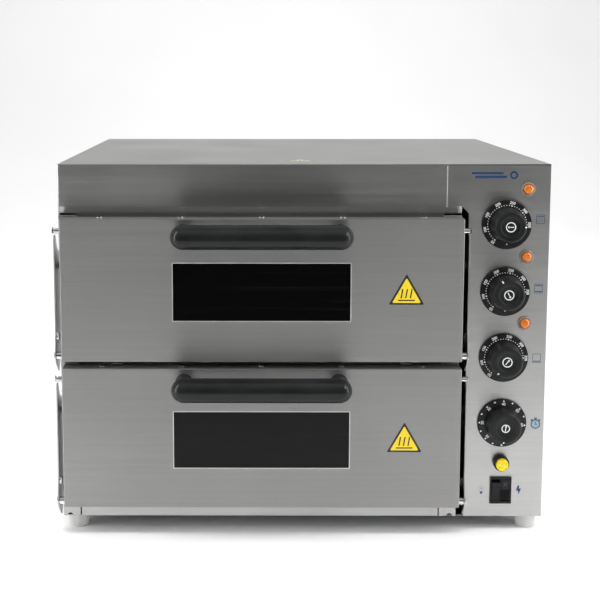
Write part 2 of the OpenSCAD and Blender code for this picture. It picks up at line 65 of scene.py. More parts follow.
class Look:
    """A node material under construction, around one Principled shader."""

    def __init__(self, name, **constants):
        self.material = bpy.data.materials.new(name)
        self.material.use_nodes = True
        self.tree = self.material.node_tree
        self.shader = self.tree.nodes["Principled BSDF"]
        for socket, value in constants.items():
            self.shader.inputs[socket.replace("_", " ")].default_value = value

    def node(self, kind, inputs=None, **settings):
        made = self.tree.nodes.new("ShaderNode" + kind)
        for key, value in settings.items():
            setattr(made, key, value)
        for socket, value in (inputs or {}).items():
            self.feed(made.inputs[socket], value)
        return made

    def feed(self, socket, value):
        if isinstance(value, bpy.types.NodeSocket):
            self.tree.links.new(value, socket)
        else:
            socket.default_value = value

    def noise(self, scale, detail=4.0, roughness=0.55, space="Object"):
        """Noise with a scale for each axis, in cycles per metre."""
        place = self.node("TexCoord").outputs[space]
        stretched = self.node("Mapping", {"Vector": place, "Scale": scale}).outputs["Vector"]
        made = self.node("TexNoise", {"Vector": stretched, "Scale": 1.0, "Detail": detail,
                                      "Roughness": roughness})
        return made.outputs["Fac"]

    def cells(self, scale):
        place = self.node("TexCoord").outputs["Object"]
        return self.node("TexVoronoi", {"Vector": place, "Scale": scale}).outputs["Color"]

    def between(self, factor, low, high, start=0.3, end=0.7):
        """The factor's range from start to end, spread from low to high."""
        inputs = {"Value": factor, "From Min": start, "From Max": end, "To Min": low, "To Max": high}
        return self.node("MapRange", inputs).outputs["Result"]

    def blend(self, factor, one, other):
        made = self.node("Mix", {"Factor": factor}, data_type="RGBA")
        self.feed(made.inputs[6], one)
        self.feed(made.inputs[7], other)
        return made.outputs[2]

    def set(self, **values):
        for socket, value in values.items():
            self.feed(self.shader.inputs[socket.replace("_", " ")], value)

    def bump(self, height, distance, strength):
        inputs = {"Height": height, "Distance": distance, "Strength": strength}
        return self.node("Bump", inputs).outputs["Normal"]


def shade(level, tint):
    return tuple(level * t for t in tint) + (1.0,)


def brushed_steel(name, level, roughness):
    """Stainless sheet with a horizontal grain and faint smudges in its gloss."""
    look = Look(name, Metallic=1.0, Anisotropic=0.72, Anisotropic_Rotation=0.25)
    fine = look.noise((14, 1500, 1500), 5, 0.65, "UV")
    broad = look.noise((2.5, 220, 220), 3, 0.6, "UV")
    smudge = look.noise((9, 9, 9), 3, 0.5)
    grain = look.node("Math", {0: fine, 1: broad}, operation="ADD").outputs[0]
    streaks = look.between(grain, 0, 1, 0.75, 1.25)
    tint = (1.0, 0.995, 0.98)
    look.set(Base_Color=look.blend(streaks, shade(level * 0.94, tint), shade(level * 1.04, tint)))
    wander = look.between(streaks, -0.03, 0.03, 0, 1)
    smeared = look.between(smudge, roughness - 0.03, roughness + 0.04)
    look.set(Roughness=look.node("Math", {0: wander, 1: smeared}, operation="ADD").outputs[0])
    look.set(Normal=look.bump(fine, 0.00004, 0.6))
    look.set(Tangent=look.node("Tangent", direction_type="UV_MAP").outputs["Tangent"])
    return look.material


def plain_metal(name, level, tint, roughness, spangle=0.0):
    """Dull sheet: galvanised with a spangle, or aluminised."""
    look = Look(name, Metallic=1.0)
    cloud = look.noise((30, 30, 30), 5)
    colour = look.blend(look.between(cloud, 0, 1), shade(level * 0.85, tint), shade(level * 1.1, tint))
    if spangle:
        flakes = look.node("SeparateColor", {"Color": look.cells(140)}).outputs["Red"]
        colour = look.blend(look.between(flakes, 0, spangle, 0, 1), colour, shade(level * 1.4, tint))
    look.set(Base_Color=colour, Roughness=look.between(cloud, roughness - 0.06, roughness + 0.08))
    look.set(Normal=look.bump(look.noise((160, 160, 160), 3), 0.0001, 0.25))
    return look.material


def moulded(name, colour, roughness, relief=0.00004, mottle=0.25, **constants):
    """Moulded plastic, rubber, glass or glaze: a slight mottle and a fine surface texture."""
    look = Look(name, **constants)
    cloud = look.noise((60, 60, 60), 4)
    darker = tuple(c * (1 - mottle) for c in colour) + (1.0,)
    lighter = tuple(min(1.0, c * (1 + mottle)) for c in colour) + (1.0,)
    look.set(Base_Color=look.blend(look.between(cloud, 0, 1), darker, lighter))
    look.set(Roughness=look.between(cloud, roughness * 0.9, roughness * 1.15))
    look.set(Normal=look.bump(look.noise((900, 900, 900), 2), relief, 0.5))
    return look.material


def mineral_wool():
    look = Look("mineral_wool", Roughness=1.0)
    fibres = look.noise((90, 700, 700), 6, 0.7)
    deep, pale = (0.55, 0.48, 0.30, 1), (0.82, 0.76, 0.56, 1)
    look.set(Base_Color=look.blend(look.between(fibres, 0, 1), deep, pale))
    look.set(Normal=look.bump(fibres, 0.003, 0.9))
    return look.material


def baking_stone():
    """Fired clay: pale, speckled and pitted."""
    look = Look("baking_stone", Roughness=0.9)
    specks = look.noise((260, 260, 260), 6, 0.7)
    cloud = look.noise((14, 14, 14), 4)
    clay = look.blend(look.between(cloud, 0, 1), (0.60, 0.50, 0.37, 1), (0.74, 0.66, 0.52, 1))
    speckled = look.between(specks, 0, 0.6, 0.6, 0.75)
    look.set(Base_Color=look.blend(speckled, clay, (0.36, 0.28, 0.20, 1)))
    look.set(Normal=look.bump(specks, 0.0006, 0.8))
    return look.material


def dark_glass():
    """Tinted door glass, almost black, with faint lighter horizontal lines in its colour."""
    look = Look("door_glass", IOR=1.45, Specular_IOR_Level=0.03, Transmission_Weight=0.35)
    faint_lines = look.noise((3, 3, 330), 3, 0.6)
    base_tone, line_tone = (0.003, 0.003, 0.0035, 1), (0.014, 0.014, 0.015, 1)
    look.set(Base_Color=look.blend(look.between(faint_lines, 0, 1, 0.55, 0.8), base_tone, line_tone))
    look.set(Roughness=look.between(faint_lines, 0.06, 0.16))
    return look.material


def black_bakelite(name="black_bakelite", low=0.14, high=0.20, specular=0.22):
    """Bakelite: deep black with a soft swirl in its gloss."""
    look = Look(name, Specular_IOR_Level=specular)
    swirl = look.noise((25, 60, 60), 4)
    dark, light = (0.010, 0.011, 0.011, 1), (0.017, 0.018, 0.018, 1)
    look.set(Base_Color=look.blend(look.between(swirl, 0, 1), dark, light))
    look.set(Roughness=look.between(swirl, low, high))
    look.set(Normal=look.bump(look.noise((350, 350, 350), 2), 0.00003, 0.3))
    return look.material


def faceted_lens(name, dark, light, scale, **constants):
    """Translucent plastic with the prismatic facets of a moulded lens."""
    look = Look(name, **constants)
    facets = look.node("SeparateColor", {"Color": look.cells(scale)}).outputs["Green"]
    look.set(Base_Color=look.blend(look.between(facets, 0, 1, 0.1, 0.9), dark, light))
    look.set(Roughness=look.between(look.noise((200, 200, 200)), 0.15, 0.28))
    look.set(Normal=look.bump(facets, 0.0004, 0.5))
    return look.material


def printed(name, colour):
    """Screen-printed ink, slightly uneven; also the painted shade at the lamp lenses' edges."""
    look = Look(name)
    cover = look.noise((900, 900, 900), 3)
    worn = tuple(0.88 * c for c in colour) + (1.0,)
    look.set(Base_Color=look.blend(look.between(cover, 0, 1), worn, tuple(colour) + (1.0,)))
    look.set(Roughness=look.between(cover, 0.35, 0.5))
    return look.material


LOOKS = {
    "brushed_sheet": brushed_steel("brushed_sheet", 0.56, 0.36),
    "door_sheet": brushed_steel("door_sheet", 0.42, 0.50),
    "galvanised_sheet": plain_metal("galvanised_sheet", 0.34, (1.0, 1.01, 1.03), 0.5, spangle=0.4),
    "chamber_sheet": plain_metal("chamber_sheet", 0.42, (1.0, 0.99, 0.96), 0.45),
    "mineral_wool": mineral_wool(),
    "baking_stone": baking_stone(),
    "heating_tube": plain_metal("heating_tube", 0.10, (1.0, 0.88, 0.80), 0.55),
    "ceramic": moulded("ceramic", (0.86, 0.84, 0.78), 0.25, mottle=0.04),
    "lamp_glass": moulded("lamp_glass", (0.93, 0.93, 0.90), 0.08, mottle=0.03,
                          Transmission_Weight=0.7),
    "door_glass": dark_glass(),
    "black_bakelite": black_bakelite(),
    "black_plastic": moulded("black_plastic", (0.010, 0.010, 0.011), 0.38, Specular_IOR_Level=0.25),
    "dial_black": moulded("dial_black", (0.011, 0.011, 0.012), 0.34, relief=0.00002,
                          Specular_IOR_Level=0.3),
    "orange_lens": faceted_lens("orange_lens", (0.48, 0.11, 0.01, 1), (0.76, 0.22, 0.02, 1), 900,
                                Coat_Weight=1.0, Coat_Roughness=0.04,
                                Emission_Color=(1.0, 0.30, 0.04, 1), Emission_Strength=0.05),
    "clear_bezel": moulded("clear_bezel", (0.50, 0.42, 0.36), 0.18, mottle=0.1,
                           Transmission_Weight=0.45),
    "yellow_plastic": faceted_lens("yellow_plastic", (0.80, 0.55, 0.0, 1), (1.0, 0.86, 0.02, 1), 650),
    "copper": plain_metal("copper", 0.75, (1.0, 0.58, 0.40), 0.35),
    "zinc_steel": plain_metal("zinc_steel", 0.72, (1.0, 1.0, 1.01), 0.22),
    "rubber": moulded("rubber", (0.62, 0.62, 0.61), 0.6, mottle=0.08),
}
SATIN_BLACK = black_bakelite("satin_black", 0.30, 0.40, 0.20)
# Painted shade: a darker orange for the shaded edge of each lamp lens.
LENS_EDGE_SHADE = printed("lens_edge_shade", (0.30, 0.08, 0.015))
WHITE_PRINT = printed("white_print", (0.88, 0.88, 0.86))
BLUE_PRINT = printed("blue_print", (0.010, 0.040, 0.14))
GREY_BLUE_PRINT = printed("grey_blue_print", (0.05, 0.10, 0.19))
PALE_BLUE_PRINT = printed("pale_blue_print", (0.36, 0.46, 0.55))
YELLOW_PRINT = printed("yellow_print", (0.95, 0.70, 0.02))
BLACK_PRINT = printed("black_print", (0.02, 0.02, 0.02))
FADED_PRINT = printed("faded_print", (0.46, 0.44, 0.31))
# Painted highlight: a bright metal for the thin lines where sheet edges catch the light.
EDGE_HIGHLIGHT = plain_metal("edge_highlight", 0.80, (1.0, 1.0, 0.99), 0.60)


# ---- Making pieces ----

SHEET_ANGLE, TURNED_ANGLE = 32, 40


def as_piece(bm, name, body, slot, look=None):
    """Turns a bmesh into a piece that rides on a body, with the slot's material unless a look is
    given.
    """
    mesh = bpy.data.meshes.new(name)
    bm.to_mesh(mesh)
    bm.free()
    piece = bpy.data.objects.new(name, mesh)
    bpy.context.scene.collection.objects.link(piece)
    mesh.materials.append(look or LOOKS[slot])
    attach(piece, body)
    return piece


def smooth(piece, angle):
    """Smooth shading, apart from edges sharper than the angle in degrees."""
    piece.data.shade_smooth()
    piece.data.set_sharp_from_angle(angle=math.radians(angle))
    return piece


def finish_turned(bm, name, body, slot, look=None):
    bmesh.ops.recalc_face_normals(bm, faces=bm.faces)
    return smooth(as_piece(bm, name, body, slot, look), TURNED_ANGLE)


def finish_print(bm, name, body, slot, look):
    bmesh.ops.recalc_face_normals(bm, faces=bm.faces)
    return as_piece(bm, name, body, slot, look)


def mark_creases(bm):
    """Keeps an edge crisp where two wide flat faces meet, however shallow the fold."""
    shallow, wide = math.radians(8), 3 * MM
    for edge in bm.edges:
        if len(edge.link_faces) == 2 and edge.calc_face_angle(0.0) > shallow:
            area = min(face.calc_area() for face in edge.link_faces)
            edge.smooth = area / max(edge.calc_length(), 1e-9) < wide


def box_uv(mesh):
    """UVs in metres, with U along the sheet's horizontal grain."""
    layer = mesh.uv_layers.new(name="grain")
    for face in mesh.polygons:
        along = 1 if abs(face.normal.x) > 0.7 else 0
        across = 1 if abs(face.normal.z) > 0.7 else 2
        for loop in face.loop_indices:
            at = mesh.vertices[mesh.loops[loop].vertex_index].co
            layer.data[loop].uv = (at[along], at[across])


def hard_edges(bm, least_width, most_width):
    """Long sharp convex edges whose narrower face has a mean width within the limits."""
    least_angle, least_length = math.radians(50), 6 * MM
    found = []
    for edge in bm.edges:
        if len(edge.link_faces) != 2 or edge.calc_length() < least_length or not edge.is_convex:
            continue
        if edge.calc_face_angle(0.0) < least_angle:
            continue
        width = min(face.calc_area() for face in edge.link_faces) / edge.calc_length()
        if least_width <= width < most_width:
            found.append(edge)
    return found


def softened(node, fold=1.0 * MM, burr=0.3 * MM, name=None):
    """A piece from a CAD node's mesh, with rounded folds, eased cut edges and smooth shading.

    Folds are edges between faces at least 4 mm wide; cut edges lie along narrower faces."""
    bm = bmesh.new()
    bm.from_mesh(NODES[node].data)
    bmesh.ops.remove_doubles(bm, verts=bm.verts, dist=1e-5)
    bmesh.ops.dissolve_limit(bm, angle_limit=math.radians(0.5), verts=bm.verts, edges=bm.edges)
    sheet_cut, sheet_face, no_limit = 0.9 * MM, 4 * MM, 10.0
    passes = [(fold, sheet_face, no_limit, 3), (burr, sheet_cut, sheet_face, 1)]
    for width, least, most, steps in passes:
        edges = hard_edges(bm, least, most)
        if width and edges:
            bmesh.ops.bevel(bm, geom=edges, offset=width, segments=steps, profile=0.5,
                            affect="EDGES", clamp_overlap=False)
    for face in bm.faces:
        face.smooth = True
    mark_creases(bm)
    piece = as_piece(bm, name or node + "_shell", BODY_OF[node], SLOT_OF[node])
    box_uv(piece.data)
    sharp = [edge.use_edge_sharp for edge in piece.data.edges]
    smooth(piece, SHEET_ANGLE)
    for edge, crisp in zip(piece.data.edges, sharp):
        edge.use_edge_sharp = edge.use_edge_sharp or crisp
    piece.modifiers.new("normals", "WEIGHTED_NORMAL").keep_sharp = True
    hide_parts(node)
    return piece


def lathe(bm, profile, at, turn=ALONG_Y, steps=64):
    """Adds a turned shape from a profile of (radius, distance along the axis) in mm."""
    place = Matrix.Translation(at) @ turn
    rings = []
    for radius, along in profile:
        if radius == 0:
            rings.append([bm.verts.new(place @ Vector((0, 0, along * MM)))])
            continue
        around = []
        for i in range(steps):
            a = 2 * math.pi * i / steps
            spot = Vector((radius * math.cos(a), radius * math.sin(a), along)) * MM
            around.append(bm.verts.new(place @ spot))
        rings.append(around)
    for one, two in zip(rings, rings[1:]):
        for i in range(steps):
            j = (i + 1) % steps
            corners = [one[i % len(one)], one[j % len(one)], two[j % len(two)], two[i % len(two)]]
            kept = [v for k, v in enumerate(corners) if v not in corners[:k]]
            if len(kept) > 2:
                bm.faces.new(kept)


def arc(centre, radius, start, end, steps):
    """Points of a profile's rounded corner, angles in degrees from the radial direction."""
    angles = [math.radians(start + (end - start) * i / steps) for i in range(steps + 1)]
    return [(centre[0] + radius * math.cos(a), centre[1] + radius * math.sin(a)) for a in angles]


def prism(bm, outline, front, depth, place):
    """Adds a flat plate: outline in mm about the place, its front face front mm out of it."""
    near = [bm.verts.new(place @ Vector((x * MM, -front * MM, z * MM))) for x, z in outline]
    far = [bm.verts.new(place @ Vector((x * MM, -(front - depth) * MM, z * MM))) for x, z in outline]
    bm.faces.new(near)
    bm.faces.new(far[::-1])
    for i in range(len(outline)):
        j = (i + 1) % len(outline)
        bm.faces.new((near[j], near[i], far[i], far[j]))


def circle(radius, steps, at=(0, 0)):
    turns = [2 * math.pi * i / steps for i in range(steps)]
    return [(at[0] + radius * math.cos(a), at[1] + radius * math.sin(a)) for a in turns]


def bar(start, end, width):
    """Outline of a straight stroke."""
    along = Vector((end[0] - start[0], end[1] - start[1])).normalized() * width / 2
    side = Vector((-along.y, along.x))
    return [(start[0] + side.x, start[1] + side.y), (start[0] - side.x, start[1] - side.y),
            (end[0] - side.x, end[1] - side.y), (end[0] + side.x, end[1] + side.y)]


def ring(bm, radius, width, front, depth, place, steps=40, centre=(0, 0)):
    """Adds a flat ring as a loop of short strokes."""
    spots = circle(radius, steps, centre)
    for i in range(steps):
        prism(bm, bar(spots[i], spots[(i + 1) % steps], width), front, depth, place)


def numeral(bm, text, height, place):
    """Adds a number as flat text, its middle at the place's origin."""
    size_per_height = 1.4
    curve = bpy.data.curves.new("numeral", "FONT")
    curve.body = text
    curve.size = height * MM * size_per_height
    curve.align_x = "CENTER"
    curve.align_y = "CENTER"
    curve.resolution_u = 3
    curve.extrude = 0.03 * MM
    curve.offset = 0.12 * MM
    writer = bpy.data.objects.new("numeral", curve)
    bpy.context.scene.collection.objects.link(writer)
    shown = writer.evaluated_get(bpy.context.evaluated_depsgraph_get())
    made = bpy.data.meshes.new_from_object(shown)
    made.transform(place @ ALONG_Y)
    bm.from_mesh(made)
    bpy.data.objects.remove(writer)
    bpy.data.curves.remove(curve)
    bpy.data.meshes.remove(made)


# ---- Camera, floor and light ----

CAMERA_AT = (-0.0497, -1.5752, 0.5399)
CAMERA_YAW = 0.27
CAMERA_PITCH = 7.04
CAMERA_LENS = 72.2
CAMERA_SHIFT = (0.0797, -0.1417)
CARD_LIFT = 0.004
WORLD_STRENGTH = 0.38


def make_camera():
    data = bpy.data.cameras.new("camera")
    data.lens = CAMERA_LENS
    data.shift_x, data.shift_y = CAMERA_SHIFT
    camera = bpy.data.objects.new("camera", data)
    camera.location = CAMERA_AT
    camera.rotation_euler = (math.radians(90 - CAMERA_PITCH), 0, math.radians(CAMERA_YAW))
    bpy.context.scene.collection.objects.link(camera)
    bpy.context.scene.camera = camera


def stage_mesh(name, corners, faces, look):
    mesh = bpy.data.meshes.new(name)
    mesh.from_pydata(corners, [], faces)
    piece = bpy.data.objects.new(name, mesh)
    bpy.context.scene.collection.objects.link(piece)
    mesh.materials.append(look)
    return piece


def make_floor():
    """A pale sweep: a floor that curves up into a wall behind the oven."""
    pale = Look("pale_floor", Roughness=0.9)
    cloud = pale.noise((1.5, 1.5, 1.5), 3)
    dull, bright = (0.90, 0.90, 0.90, 1), (0.94, 0.94, 0.94, 1)
    pale.set(Base_Color=pale.blend(pale.between(cloud, 0, 1), dull, bright))
    half, near, bend, radius, top, steps = 5.0, -6.0, 2.2, 1.0, 4.0, 12
    profile = [(near, 0.0)]
    for i in range(steps + 1):
        a = math.radians(90 * i / steps)
        profile.append((bend + radius * math.sin(a), radius * (1 - math.cos(a))))
    profile.append((bend + radius, top))
    corners = [(x, y, z) for y, z in profile for x in (-half, half)]
    faces = [(2 * i, 2 * i + 1, 2 * i + 3, 2 * i + 2) for i in range(len(profile) - 1)]
    stage_mesh("floor_sweep", corners, faces, pale.material).data.shade_smooth()


def make_dark_card():
    """A dark floor and wall round the camera, which only glossy surfaces mirror."""
    dark = Look("dark_card", Roughness=1.0)
    deep, light = (0.06, 0.06, 0.06, 1), (0.08, 0.08, 0.08, 1)
    dark.set(Base_Color=dark.blend(dark.noise((2, 2, 2)), deep, light))
    half, near, far, top = 4.0, -1.0, -4.6, 2.6
    corners = [(-half, near, CARD_LIFT), (half, near, CARD_LIFT), (half, far, CARD_LIFT),
               (-half, far, CARD_LIFT), (half, far, top), (-half, far, top)]
    card = stage_mesh("dark_card", corners, [(0, 1, 2, 3), (3, 2, 4, 5)], dark.material)
    card.visible_camera = False
    card.visible_shadow = False
    card.visible_diffuse = False


def area_light(name, at, target, size, power, shape="RECTANGLE", spread=180):
    data = bpy.data.lights.new(name, "AREA")
    data.shape = shape
    data.spread = math.radians(spread)
    data.size = size[0]
    if shape == "RECTANGLE":
        data.size_y = size[1]
    data.energy = power
    light = bpy.data.objects.new(name, data)
    light.location = at
    light.rotation_euler = (Vector(target) - Vector(at)).to_track_quat("-Z", "Y").to_euler()
    bpy.context.scene.collection.objects.link(light)
    light.visible_camera = False
    return light


def make_lights():
    overhead = area_light("overhead", (0.0, 1.0, 2.3), (0, 0.9, 0), (3.0, 2.4), 64)
    near_floor = area_light("near_floor", (0.0, -0.5, 1.1), (0, -0.38, 0), (1.8, 0.15), 1.6, spread=60)
    for light in (overhead, near_floor):
        light.visible_glossy = False
    sheen = area_light("sheen", (0.0, -0.8, 1.3), (0, -0.2, 0.3), (2.2, 0.5), 1.4)
    sheen.visible_diffuse = False
    area_light("left_strip", (-1.25, -0.55, 0.5), (0, -0.1, 0.25), (0.35, 1.9), 13)
    area_light("right_strip", (1.35, -0.55, 0.6), (0, -0.1, 0.25), (0.35, 1.9), 13)
    area_light("small_key", (1.25, -1.1, 1.1), (0.15, -0.2, 0.25), (0.12, 0.12), 3.5, shape="DISK")
    world = bpy.data.worlds.new("studio")
    world.use_nodes = True
    background = world.node_tree.nodes["Background"]
    background.inputs["Color"].default_value = (1.0, 1.0, 1.0, 1.0)
    background.inputs["Strength"].default_value = WORLD_STRENGTH
    bpy.context.scene.world = world
    bpy.context.scene.view_settings.view_transform = "Standard"


make_camera()
make_floor()
make_dark_card()
make_lights()


# ---- Sheet metal and hardware ----

SHEET_NODES = ["top_cover", "control_fascia", "left_side_panel", "right_side_panel", "back_panel",
               "base_plate", "front_posts", "front_rails", "hinge_plates", "upper_door_skin",
               "lower_door_skin", "upper_door_liner", "lower_door_liner", "upper_chamber",
               "lower_chamber", "stone_ledges"]
HARDWARE_NODES = ["hinge_screws", "upper_door_studs", "lower_door_studs", "upper_door_screws",
                  "lower_door_screws", "foot_screws", "feet", "cable_gland", "switch_housing",
                  "upper_ceiling_element", "upper_floor_element", "lower_ceiling_element",
                  "lower_floor_element", "lamp_glasses", "lamp_sockets", "upper_stone", "lower_stone"]
for sheet_node in SHEET_NODES:
    softened(sheet_node)
for hardware_node in HARDWARE_NODES:
    softened(hardware_node, fold=0.4 * MM, burr=0.0)


# ---- Handles ----

def make_handle(deck):
    """A moulded bar with round ends on two flared legs."""
    low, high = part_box(deck + "_door_handle")
    radius = (high.z - low.z) / 2 / MM
    length = (high.x - low.x) / MM
    axis = Vector(((low.x + high.x) / 2, low.y + radius * MM, (low.z + high.z) / 2))
    reach = (high.y - axis.y) / MM
    half = length / 2 - radius
    bm = bmesh.new()
    profile = [(0, -half - radius)] + arc((0, -half), radius, -85, 0, 12)
    profile += arc((0, half), radius, 0, 85, 12) + [(0, half + radius)]
    lathe(bm, profile, axis, ALONG_X)
    leg, flare, end_gap = 9.0, 1.2, 3.5
    foot = [(leg, 0), (leg, reach - 4), (leg + 0.4, reach - 1.5), (leg + flare, reach - 0.4),
            (leg + flare, reach), (0, reach)]
    for side in (-1, 1):
        at = axis + Vector((side * (length / 2 - leg - end_gap) * MM, 0, 0))
        lathe(bm, foot, at, TIPPED_BACK, 40)
    piece = finish_turned(bm, deck + "_handle_bar", deck + "_door", "black_bakelite")
    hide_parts(deck + "_door_handle")


for deck_name in DECKS:
    make_handle(deck_name)


# ---- Stickers on the doors and the top ----

STICKER_CORNER = 1.2
STROKES_X = (-5.2, 0, 5.2)
DOOR_STICKER_AT = (391.6, 66.5)
COVER_STICKER_AT = (277.0, 40.0)
DOOR_FILM = 0.1
# The cover's film lies on the oven's highest face: it rises only 0.02 mm over the CAD model.
COVER_FILM = 0.012


def rounded_triangle(width, height, corner):
    """Outline of a triangle, point up, its base's middle at the origin, with round corners."""
    steps, sweep = 6, 20
    tips = [Vector((-width / 2, 0)), Vector((width / 2, 0)), Vector((0, height))]
    centre = sum(tips, Vector((0, 0))) / 3
    outline = []
    for tip, start in zip(tips, (210, 300, 30)):
        inner = tip + (centre - tip).normalized() * corner * 2
        for i in range(steps + 1):
            a = math.radians(start - 30 + i * sweep)
            outline.append((inner.x + corner * math.cos(a), inner.y + corner * math.sin(a)))
    return outline


def make_sticker(name, body, place, fill, film):
    """A plain triangle, dark border, three slanting strokes and a bar, in films of film mm."""
    slot = "brushed_sheet" if body == "casing" else "door_sheet"
    border = ("border", BLACK_PRINT, 40.6, 35.6, 0.0, film)
    field = ("field", fill, 33.0, 29.0, 2.0, 1.4 * film)
    for part, look, width, height, lift, rise in (border, field):
        bm = bmesh.new()
        outline = [(x, z + lift) for x, z in rounded_triangle(width, height, STICKER_CORNER)]
        prism(bm, outline, rise, rise, place)
        finish_print(bm, name + "_" + part, body, slot, look)
    bm = bmesh.new()
    prism(bm, bar((-9.5, 5.0), (9.5, 5.0), 1.4), 1.8 * film, film, place)
    for x in STROKES_X:
        prism(bm, bar((x - 0.9, 7.4), (x + 0.9, 18.0), 1.5), 1.8 * film, film, place)
    finish_print(bm, name + "_mark", body, slot, BLACK_PRINT)


for deck_name in DECKS:
    skin_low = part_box(deck_name + "_door_skin")[0]
    across, up = DOOR_STICKER_AT
    spot = Matrix.Translation((skin_low.x + across * MM, skin_low.y, skin_low.z + up * MM))
    make_sticker(deck_name + "_sticker", deck_name + "_door", spot, YELLOW_PRINT, DOOR_FILM)
cover_low, cover_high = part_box("top_cover")
across, inward = COVER_STICKER_AT
spot = Matrix.Translation((cover_low.x + across * MM, cover_low.y + inward * MM, cover_high.z))
make_sticker("cover_sticker", "casing", spot @ TIPPED_BACK, FADED_PRINT, COVER_FILM)


# ---- Painted highlights along edges ----

PANE_MARGIN = 8.0
EDGE_RISE = 0.06


def make_window_edge(deck):
    """A thin painted highlight round the window's opening: a bright line where the edge catches the
    light.
    """
    width = 0.9
    low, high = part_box(deck + "_door_glass")
    half_w = (high.x - low.x) / 2 / MM - PANE_MARGIN + width / 2
    half_h = (high.z - low.z) / 2 / MM - PANE_MARGIN + width / 2
    skin_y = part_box(deck + "_door_skin")[0].y
    place = Matrix.Translation(((low.x + high.x) / 2, skin_y, (low.z + high.z) / 2))
    corners = [(-half_w, -half_h), (half_w, -half_h), (half_w, half_h), (-half_w, half_h)]
    bm = bmesh.new()
    for i in range(4):
        prism(bm, bar(corners[i], corners[(i + 1) % 4], width), EDGE_RISE, EDGE_RISE, place)
    finish_print(bm, deck + "_window_highlight", deck + "_door", "door_sheet", EDGE_HIGHLIGHT)


def make_seam_edge():
    """A painted highlight along the fascia's edge, beside its seam with the top cover."""
    seam_length, width, top_gap = 48.0, 1.3, 1.0
    low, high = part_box("control_fascia")
    place = Matrix.Translation((low.x, FASCIA_Y, high.z))
    stroke = bar((width / 2, -seam_length), (width / 2, -top_gap), width)
    bm = bmesh.new()
    prism(bm, stroke, EDGE_RISE, EDGE_RISE, place)
    finish_print(bm, "seam_highlight", "casing", "brushed_sheet", EDGE_HIGHLIGHT)


FASCIA_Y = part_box("control_fascia")[0].y
for deck_name in DECKS:
    make_window_edge(deck_name)
make_seam_edge()


# ---- Dials and knobs ----

DIAL_LOW, DIAL_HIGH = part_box("dial_plates")
DIAL_R = (DIAL_HIGH.x - DIAL_LOW.x) / 2 / MM
DIAL_T = (FASCIA_Y - DIAL_LOW.y) / MM
KNOBS = [("upper_knob", "upper_thermostat_turn"), ("middle_knob", "middle_thermostat_turn"),
         ("lower_knob", "lower_thermostat_turn"), ("timer_knob", "timer_turn")]
POINTERS = {"upper_knob": 270, "middle_knob": 153, "lower_knob": 38, "timer_knob": 8}
THERMOSTAT_SPAN, THERMOSTAT_TOP = 270.0, 350
TIMER_SPAN, TIMER_TOP = 275.0, 60
NUMERAL_HEIGHT = 3.1
THERMOSTAT_DOTS_R, THERMOSTAT_NUMBERS_R = 22.2, 25.4
TIMER_DOTS_R, TIMER_NUMBERS_R = 26.2, 22.7
KNOB_BASE_R, KNOB_FACE_R, KNOB_RIM = 20.3, 18.1, 3.0


def dial_centre(joint):
    at = JOINTS[joint]["pos_m"]
    return Vector((at[0], FASCIA_Y, at[2]))


def dial_spot(angle, radius):
    """Place on a dial, in mm, at an angle clockwise from its bottom."""
    a = math.radians(angle)
    return (-radius * math.sin(a), -radius * math.cos(a))


def make_dial_discs():
    """Discs with a round front edge and a hole for the shaft."""
    hole, edge = 5, 1.0
    rim = [(hole, 0), (DIAL_R - 0.2, 0), (DIAL_R, 0.3), (DIAL_R, DIAL_T - edge)]
    rim += arc((DIAL_R - edge, DIAL_T - edge), edge, 15, 90, 5)
    bm = bmesh.new()
    for _, joint in KNOBS:
        lathe(bm, rim + [(hole, DIAL_T), (hole, 0)], dial_centre(joint), steps=96)
    piece = finish_turned(bm, "dial_discs", "casing", "dial_black")
    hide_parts("dial_plates")


def print_dial(joint, name, marks, numbers, mark_r, number_r):
    """White dots and numbers: marks are (angle, size), numbers are (angle, text)."""
    bm = bmesh.new()
    place = Matrix.Translation(dial_centre(joint))
    for angle, size in marks:
        prism(bm, circle(size / 2, 12, dial_spot(angle, mark_r)), DIAL_T + 0.06, 0.1, place)
    bmesh.ops.recalc_face_normals(bm, faces=bm.faces)
    for angle, text in numbers:
        x, z = dial_spot(angle, number_r)
        turn = math.atan2(x, z)
        spot = Matrix.Translation((x * MM, -(DIAL_T + 0.03) * MM, z * MM))
        numeral(bm, text, NUMERAL_HEIGHT, place @ spot @ Matrix.Rotation(turn, 4, "Y"))
    as_piece(bm, name, "casing", "dial_black", WHITE_PRINT)


def make_knob_cap(node, centre, top):
    """A turned cap with a dished middle, its face top mm in front of the fascia."""
    base = DIAL_T + 0.3
    profile = [(0, base), (KNOB_BASE_R - 0.4, base), (KNOB_BASE_R, base + 0.4),
               (KNOB_BASE_R, base + 1.8), (KNOB_BASE_R - 0.5, base + 2.6),
               (KNOB_BASE_R - 0.9, base + 6), (KNOB_FACE_R + 0.3, top - KNOB_RIM - 5)]
    profile += arc((KNOB_FACE_R - KNOB_RIM, top - KNOB_RIM), KNOB_RIM, 5, 90, 9)
    profile += [(11.6, top - 0.05), (11.1, top - 0.35), (10.6, top - 1.3), (9.8, top - 1.6),
                (0, top - 1.7)]
    bm = bmesh.new()
    lathe(bm, profile, centre, steps=96)
    piece = finish_turned(bm, node + "_cap", node, "black_bakelite", SATIN_BLACK)
    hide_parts(node)


def make_knob_emblem(node, place, top):
    """A ring with a plain pointer inside, printed in the dish."""
    pointer = POINTERS[node]
    front = top - 1.60
    emblem_r = 4.3 if node == "timer_knob" else 5.2
    bm = bmesh.new()
    ring(bm, emblem_r, 1.1, front, 0.1, place)
    tail, head = dial_spot(pointer + 180, 2.4), dial_spot(pointer, 3.4)
    prism(bm, bar(tail, head, 1.0), front, 0.1, place)
    prism(bm, circle(1.1, 16, tail), front, 0.1, place)
    finish_print(bm, node + "_emblem", node, "black_bakelite", WHITE_PRINT)


